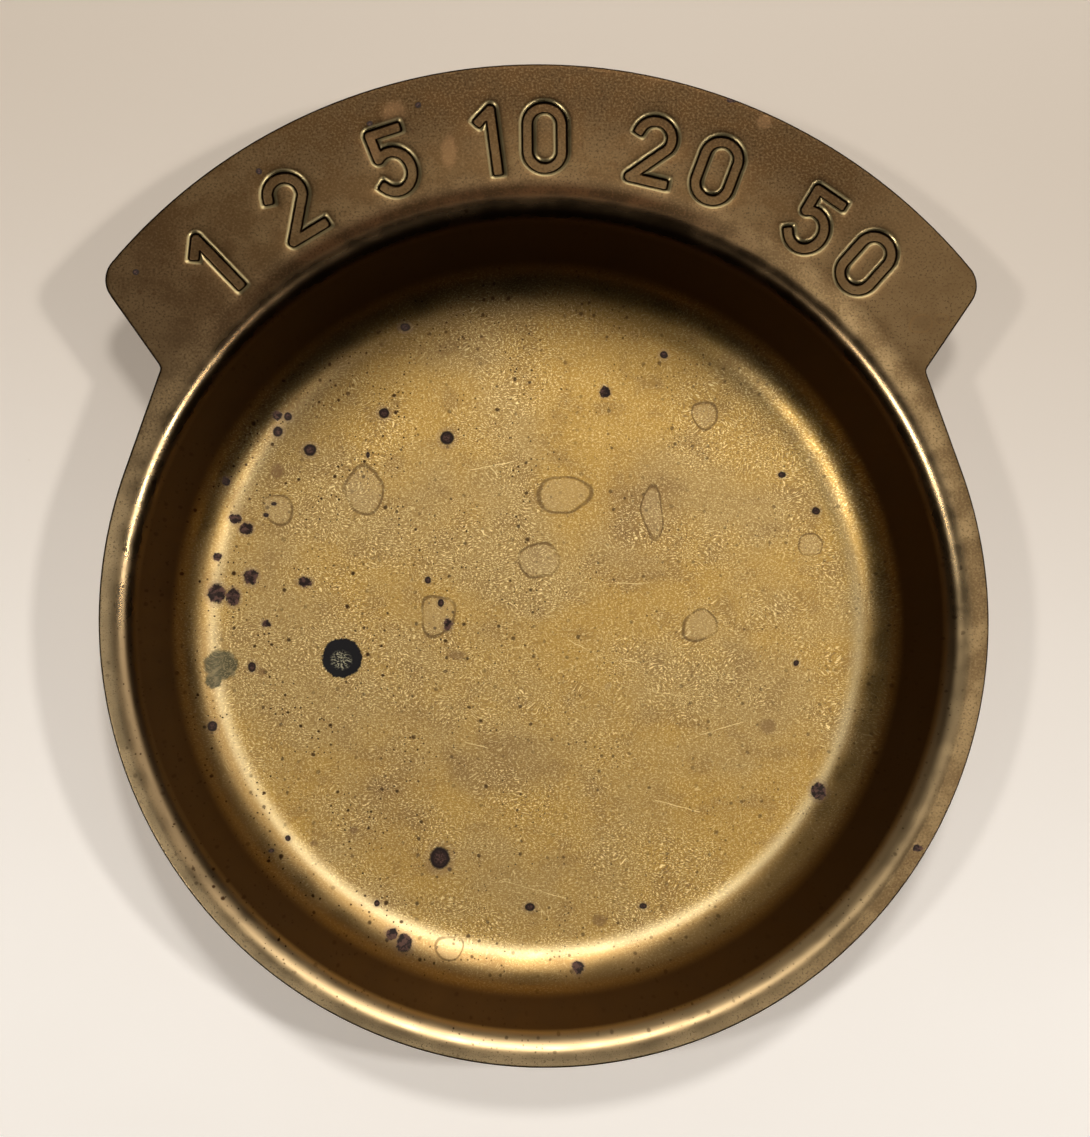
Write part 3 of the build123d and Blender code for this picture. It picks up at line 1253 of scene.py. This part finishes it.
class BrassBrush:
    """Wires the aged brass: knows the place on the dish and lays its colours over one another."""

    FAR = 9.0
    WARP_LAYERS = 3.0

    def __init__(
        self, finish: AgedBrass, effects: Effects, camera: Camera, tree: bpy.types.NodeTree
    ) -> None:
        """Sets up the place, the masks of the dish's parts and the shared tones.

        Args:
            finish: The colours and sizes.
            effects: The shared node groups.
            camera: The camera, which tells where the photograph's stains lie.
            tree: The material's nodes.
        """
        self.finish = finish
        self.effects = effects
        self.camera = camera
        self.pad = pad = NodePad(tree)
        self.place = pad.place()
        axes = pad.add("ShaderNodeSeparateXYZ", {"Vector": self.place}).outputs
        self.level = pad.add("ShaderNodeCombineXYZ", {"X": axes["X"], "Y": axes["Y"]}).outputs[0]
        from_bowl = pad.vector("SUBTRACT", self.level, (*BOWL_CENTRE, 0))
        self.radius = pad.vector("LENGTH", from_bowl)
        self.way = pad.vector("NORMALIZE", from_bowl)
        normal = pad.add("ShaderNodeNewGeometry").outputs["True Normal"]
        facing = pad.add("ShaderNodeSeparateXYZ", {"Vector": normal}).outputs
        self.upper = pad.fade(facing["Z"], finish.facing_up)
        # Painted light: the wall colour begins higher on the lower side.
        self.on_wall = pad.fade(pad.minus(axes["Z"], self.shade(finish.lit_side_wall_lift)), finish.wall_foot)
        self.on_lip = pad.fade(axes["Z"], finish.lip_foot)
        self.on_flange = pad.fade(self.radius, finish.flange_start)
        self.in_bowl = pad.minus(1.0, self.on_flange)
        self.gentle = self.warped(finish.gentle)
        self.ragged = self.warped(finish.ragged)
        self.curved = self.warped(finish.curved)
        self.bent = self.warped(finish.bent)
        self.waves = self.tone(finish.wave)
        self.patches = self.tone(finish.patch)
        self.grit = self.tone(finish.grit)
        self.dashes = self.tone(finish.dash, self.curved)
        self.worn = pad.add("ShaderNodeAttribute", attribute_name="worn").outputs["Fac"]
        self.crust: Socket | float = 0.0

    def warped(self, warp: Warp) -> Socket:
        """Gives the level place, pushed about by noise.

        Args:
            warp: How it is pushed.

        Returns:
            The pushed place.
        """
        push = self.pad.noise(self.place, warp.scale, self.WARP_LAYERS, warp.roughness).outputs["Color"]
        push = self.pad.vector("SUBTRACT", push, (NOISE_MIDDLE, NOISE_MIDDLE, NOISE_MIDDLE))
        return self.pad.vector("MULTIPLY_ADD", push, (warp.reach, warp.reach, 0), self.level)

    def tone(self, tone: Tone, place: Socket | None = None) -> Socket:
        """Uses the shared mottling, at the plain place unless another is given."""
        return self.effects.tone(self.pad, place or self.place, tone)

    def specks(self, specks: Specks) -> Socket:
        """Uses the shared specks, a little ragged."""
        return self.effects.specks(self.pad, self.gentle, specks)

    def shade(self, patch: Shade) -> Socket:
        """Gives how much of one side's patch shows.

        Args:
            patch: The patch.

        Returns:
            Its mask.
        """
        side = self.pad.vector("DOT_PRODUCT", self.way, (*plan(1.0, patch.way), 0))
        side = self.pad.ramp(side, *patch.spread, 0.0, patch.strength)
        return self.pad.times(side, self.pad.ramp(self.radius, *patch.reach))

    def nearest(self, kind: StainKind, place: Socket) -> Socket:
        """Gives how far the nearest stain of a kind is, in its own half widths.

        Args:
            kind: The kind of stain.
            place: Where it is read.

        Returns:
            The distance, which is 1 at the stain's edge.
        """
        finish, camera = self.finish, self.camera
        nearest = self.FAR
        for stains, height in ((FLOOR_STAINS, finish.floor_height), (FLANGE_STAINS, finish.flange_height)):
            pixel = camera.pixel(height)
            for stain in stains.get(kind, ()):
                centre = camera.plan_spot(stain.column, stain.row, height)
                reach = (stain.half_width * pixel, stain.half_height * pixel, 1)
                inputs = {"Place": place, "Centre": centre, "Reach": reach, "Nearest": nearest}
                nearest = self.effects.nearest.use(self.pad, inputs)
        return nearest

    def scratches(self) -> Socket:
        """Gives the scratches.

        Returns:
            Their mask.
        """
        height = self.finish.floor_height
        nearest = self.FAR
        for scratch in SCRATCHES:
            start = self.camera.plan_spot(scratch.column, scratch.row, height)
            end = self.camera.plan_spot(scratch.to_column, scratch.to_row, height)
            inputs = {"Place": self.gentle, "Start": start, "End": end, "Nearest": nearest}
            nearest = self.effects.stroke.use(self.pad, inputs)
        return self.pad.fade(nearest, self.finish.scratch_line)

    def bowl_colour(self) -> Socket:
        """Colours the floor, the corner, the wall and the lip.

        Returns:
            Their colour.
        """
        pad, finish = self.pad, self.finish
        cloud = pad.fade(self.nearest(StainKind.CLOUD, self.curved), finish.cloud_edge)
        cloud = pad.times(cloud, pad.calc("MULTIPLY_ADD", self.patches, *finish.cloud_patches))
        lively = pad.fade(self.tone(finish.lively), finish.lively_share)
        scratched = pad.times(self.scratches(), pad.fade(self.patches, finish.scratch_patches))
        # Painted highlight on the corner, pale near the floor and brown further up.
        corner = pad.blend(pad.fade(self.radius, finish.corner_turn), finish.corner, finish.corner_sheen_brown)
        # Painted shade on the lip: on its inside, its lower left and its top.
        lip = pad.lay(
            finish.lip,
            (self.shade(finish.inner_lip_shade), finish.lip_inside),
            (self.shade(finish.left_lip_shade), finish.rim_brown),
            (self.shade(finish.top_lip_shade), finish.rim_brown),
        )
        return pad.lay(
            finish.floor,
            (pad.fade(self.waves, finish.grey_waves), finish.floor_grey),
            (pad.fade(self.patches, finish.tarnished_patches), finish.tarnish),
            (pad.times(cloud, finish.cloud_share), finish.tarnish),
            (pad.times(pad.fade(self.dashes, finish.dull_dashes), lively), finish.tarnish),
            (pad.times(pad.fade(self.dashes, finish.pale_dashes), lively), finish.glint),
            (pad.fade(self.grit, finish.bright_grit), finish.glint),
            (scratched, finish.glint),
            (self.shade(finish.corner_highlight_patch), corner),
            # Painted shade on the floor and corner towards the sign side.
            (self.shade(finish.top_floor_shade), finish.shade_brown),
            # Painted shade on the wall towards the upper right.
            (self.on_wall, pad.blend(self.shade(finish.wall_shade_patch), finish.wall, finish.shade_brown)),
            (self.on_lip, lip),
        )

    def flange_colour(self) -> Socket:
        """Colours the rim and the sign flange, and the underside.

        Returns:
            Their colour.
        """
        pad, finish = self.pad, self.finish
        outer = pad.fade(self.radius, finish.flange_brown)
        # Painted shade on the rim next to the lip, along the top.
        inner = pad.times(self.shade(finish.top_brim_shade), pad.fade(self.radius, finish.brim_end))
        base = pad.lay(finish.rim, (outer, finish.flange), (inner, finish.lip_shade))
        light = pad.lay(finish.rim_light, (outer, finish.flange_light), (inner, finish.rim_brown))
        grimy = pad.fade(self.patches, finish.grimy_patches)
        grimy = pad.times(pad.fade(self.grit, finish.grimy_grit), grimy)
        return pad.lay(
            base,
            (pad.fade(self.patches, finish.light_patches), light),
            # Painted highlight on the rim towards the lower left.
            (self.shade(finish.rim_sheen_patch), finish.rubbed),
            # Painted shade on the middle of the sign flange.
            (self.shade(finish.banner_shade_patch), finish.banner),
            (self.shade(finish.end_patch), finish.rim),
            (self.shade(finish.flare_patch), finish.rim_brown),
            (pad.fade(self.grit, finish.light_grit), light),
            (grimy, finish.grime),
        )

    def spoil(self, colour: Socket) -> Socket:
        """Lays dots, stains and the strokes' dirt and wear over the upper face, and notes where crusts lie.

        Args:
            colour: The colour below them.

        Returns:
            The spoilt colour.
        """
        pad, finish = self.pad, self.finish
        dots = pad.calc("MAXIMUM", self.specks(finish.small_dots), self.specks(finish.large_dots))
        dots = pad.times(dots, pad.fade(self.tone(finish.drift), finish.drift_share))
        crowd = pad.fade(pad.vector("DOT_PRODUCT", self.level, finish.crowd_way), finish.crowd)
        dots = pad.times(dots, pad.times(crowd, pad.fade(self.in_bowl, finish.dots_in_bowl)))
        rust = pad.fade(self.nearest(StainKind.RUST, self.ragged), finish.rust_edge)
        rust = pad.times(rust, pad.fade(self.in_bowl, finish.rust_in_bowl))
        ring = self.nearest(StainKind.RING, self.bent)
        line = pad.fade(pad.calc("ABSOLUTE", pad.minus(ring, 1.0)), finish.drop_line)
        line = pad.times(line, pad.fade(self.patches, finish.drop_patches))
        green = pad.fade(self.nearest(StainKind.VERDIGRIS, self.ragged), finish.green_edge)
        moss = pad.fade(pad.calc("MAXIMUM", self.dashes, self.tone(finish.moss)), finish.moss_pale)
        scab = self.nearest(StainKind.SCAB, self.ragged)
        scabbed = pad.fade(scab, finish.scab_edge)
        flesh = pad.fade(self.tone(finish.flesh, self.ragged), finish.flesh_share)
        pit = self.nearest(StainKind.PIT, self.gentle)
        sunk = pad.fade(pit, finish.pit_edge)
        heart = pad.times(pad.fade(pit, finish.pit_heart), pad.fade(self.grit, finish.heart_grit))
        blot = pad.fade(self.nearest(StainKind.BLOT, self.ragged), finish.blot_edge)
        fleck = pad.fade(self.nearest(StainKind.FLECKS, self.ragged), finish.fleck_edge)
        crust = pad.calc("MAXIMUM", pad.calc("MAXIMUM", scabbed, sunk), pad.calc("MAXIMUM", blot, green))
        self.crust = pad.times(crust, self.upper)
        return pad.lay(
            colour,
            (dots, finish.rim_brown),
            (rust, finish.rust),
            (pad.times(pad.fade(ring, finish.drop_fill), self.in_bowl), finish.drop),
            (line, finish.drop_edge),
            (green, pad.blend(moss, finish.verdigris, finish.verdigris_pale)),
            (pad.times(pad.fade(scab, finish.scab_halo), self.in_bowl), finish.halo),
            (scabbed, pad.blend(flesh, finish.pit, finish.scab)),
            (pad.times(pad.fade(pit, finish.pit_halo), self.in_bowl), finish.halo),
            (sunk, pad.blend(heart, finish.pit, finish.scab)),
            (blot, finish.blot),
            (pad.times(fleck, pad.fade(self.dashes, finish.fleck_dashes)), finish.flecks),
            (self.worn, finish.glint),
            (pad.add("ShaderNodeAttribute", attribute_name="crevice").outputs["Fac"], finish.grime),
        )

    def roughness(self) -> Socket:
        """Gives the roughness: satin floor, smoother corner and wall, duller flange, dry crusts.

        Returns:
            The roughness.
        """
        pad, finish = self.pad, self.finish
        rough = pad.fade(self.radius, finish.bowl_roughness)
        rough = pad.plus(rough, pad.fade(self.radius, finish.flange_dulling))
        rough = pad.minus(rough, pad.times(self.shade(finish.keen_lip), self.in_bowl))
        rough = pad.minus(rough, pad.times(self.worn, finish.worn_polish))
        rough = pad.plus(rough, pad.times(pad.minus(self.patches, NOISE_MIDDLE), finish.patch_swing))
        return pad.plus(rough, pad.times(self.crust, finish.crust_dulling))

    def height(self) -> Socket:
        """Gives the fine relief: dashes, grain and slow waves of the sheet.

        Returns:
            The height in millimetres.
        """
        pad, finish = self.pad, self.finish
        dashes = pad.times(self.dashes, pad.fade(self.radius, finish.dash_relief))
        grit = pad.times(self.grit, pad.fade(self.radius, finish.grit_relief))
        waves = pad.times(self.waves, pad.fade(self.radius, finish.wave_relief))
        return pad.plus(pad.plus(dashes, grit), waves)


@dataclass(frozen=True)
class TableTop:
    """The pale table under the dish, as a level sheet and its paint.

    Its own sizes are metres and its colours are linear. The paint's tones are in millimetres.
    """

    half_side: float = 3.0
    drop: float = 0.00003
    near: Colour = (1.0, 0.995, 0.995, 1)
    far: Colour = (0.62, 0.558, 0.49, 1)
    tint: Colour = (1.0, 0.88, 0.75, 1)
    away: Triple = (0.1, 1.0, 0.0)
    darkening: Fade = Fade(-70.0, 85.0)
    cloud: Tone = Tone((60, 40, 40), 1.0)
    cloud_share: float = 0.12
    dust: Specks = Specks(9.0, 0.12, 0.35)
    dust_share: float = 0.25
    roughness: float = 0.5
    lift: float = 0.27

    def paint(self, effects: Effects) -> bpy.types.Material:
        """Makes the paint, darker away from the viewer, with faint clouds and dust.

        Args:
            effects: The shared node groups.

        Returns:
            The material.
        """
        paint = bpy.data.materials.new("table_paint")
        paint.use_nodes = True
        pad = NodePad(paint.node_tree)
        place = pad.place()
        along = pad.vector("DOT_PRODUCT", place, self.away)
        colour = pad.lay(
            self.near,
            (pad.fade(along, self.darkening), self.far),
            (pad.times(effects.tone(pad, place, self.cloud), self.cloud_share), self.far),
            (pad.times(effects.specks(pad, place, self.dust), self.dust_share), self.far),
        )
        rays = pad.add("ShaderNodeLightPath").outputs
        seen = pad.plus(rays["Is Camera Ray"], pad.plus(rays["Is Glossy Ray"], rays["Is Transmission Ray"]))
        sockets = paint.node_tree.nodes["Principled BSDF"].inputs
        pad.feed(sockets["Base Color"], colour)
        pad.feed(sockets["Emission Color"], pad.blend(1.0, colour, self.tint, "MULTIPLY"))
        pad.feed(sockets["Emission Strength"], pad.times(seen, self.lift))
        pad.feed(sockets["Roughness"], self.roughness)
        return paint

    def build(self, effects: Effects) -> bpy.types.Object:
        """Lays the table.

        Args:
            effects: The shared node groups.

        Returns:
            The table.
        """
        side = self.half_side
        mesh = bpy.data.meshes.new("table")
        corners = [(-side, -side), (side, -side), (side, side), (-side, side)]
        mesh.from_pydata([(*corner, -self.drop) for corner in corners], [], [(0, 1, 2, 3)])
        mesh.materials.append(self.paint(effects))
        table = bpy.data.objects.new("table", mesh)
        bpy.context.scene.collection.objects.link(table)
        LOG.info("table: %.0f m square", 2 * side)
        return table


@dataclass(frozen=True)
class Lamp:
    """A round soft lamp that looks at the dish, in metres, watts and degrees.

    It shows either in the metal or on the table, so highlights and shadows each lie where they were seen.
    """

    name: str
    azimuth: float
    zenith: float
    size: float
    power: float
    in_metal: bool
    distance: float = 1.0
    colour: Triple = (1.0, 0.95, 0.88)

    def build(self) -> bpy.types.Object:
        """Hangs the lamp.

        Returns:
            The lamp.
        """
        data = bpy.data.lights.new(self.name, "AREA")
        data.shape = "DISK"
        data.size = self.size
        data.energy = self.power
        data.color = self.colour
        lamp = bpy.data.objects.new(self.name, data)
        high = math.radians(self.zenith)
        lamp.location = Vector((*plan(math.sin(high), self.azimuth), math.cos(high))) * self.distance
        lamp.rotation_euler = lamp.location.to_track_quat("Z", "Y").to_euler()
        lamp.visible_glossy = self.in_metal
        lamp.visible_diffuse = not self.in_metal
        bpy.context.scene.collection.objects.link(lamp)
        LOG.info("%s: %.1f W", self.name, self.power)
        return lamp


@dataclass(frozen=True)
class Room:
    """The dim room round the table: darkest above, lighter behind the sign flange and to the left."""

    lamps: tuple[Lamp, ...] = (
        Lamp("gloss_top", 13.0, 28.5, 0.22, 3.3, True),
        Lamp("gloss_top_glow", 16.0, 45.0, 0.45, 1.8, True),
        Lamp("gloss_side_glow", 72.0, 44.0, 0.4, 0.9, True),
        Lamp("gloss_left", 240.0, 31.5, 0.13, 2.1, True),
        Lamp("gloss_right", 107.0, 31.5, 0.10, 1.9, True),
        Lamp("table_top", 2.0, 26.0, 0.14, 2.95, False),
        Lamp("table_left", 268.0, 33.5, 0.09, 1.9, False),
        Lamp("table_right", 87.0, 33.5, 0.09, 2.6, False),
    )
    bright_way: Triple = (-0.45, 0.85, -0.28)
    brightening: Fade = Fade(0.2, 1.0)
    dark: Colour = (0.012, 0.010, 0.008, 1)
    light: Colour = (0.27, 0.248, 0.215, 1)

    def build(self) -> bpy.types.World:
        """Hangs the lamps and paints the room.

        Returns:
            The world.
        """
        for lamp in self.lamps:
            lamp.build()
        world = bpy.data.worlds.new("room")
        bpy.context.scene.world = world
        world.use_nodes = True
        pad = NodePad(world.node_tree)
        way = pad.add("ShaderNodeTexCoord").outputs["Generated"]
        share = pad.fade(pad.vector("DOT_PRODUCT", way, self.bright_way), self.brightening)
        sockets = world.node_tree.nodes["Background"].inputs
        pad.feed(sockets["Color"], pad.blend(share, self.dark, self.light))
        LOG.info("room: %d lamps", len(self.lamps))
        return world


def main() -> None:
    """Builds every piece in order."""
    logging.basicConfig(level=logging.INFO, format="%(name)s %(message)s")
    low, high = (np.array(corner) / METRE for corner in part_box(NODE))
    section = PressedSection(rim_radius=(high[0] - low[0]) / 2, height=high[2])
    outline = BlankOutline(rim_radius=section.rim_radius, sign_radius=high[1])
    camera = Camera()
    effects = Effects()
    brass = AgedBrass(floor_height=section.thickness, flange_height=float(section.height))
    dish = CoinDish(section, outline).build()
    dish.data.materials.append(brass.build(effects, camera))
    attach(dish, BODY)
    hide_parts(NODE)
    TableTop().build(effects)
    Room().build()
    camera.build()
    bpy.context.scene.view_settings.view_transform = "Standard"


if __name__ == "__main__":
    main()
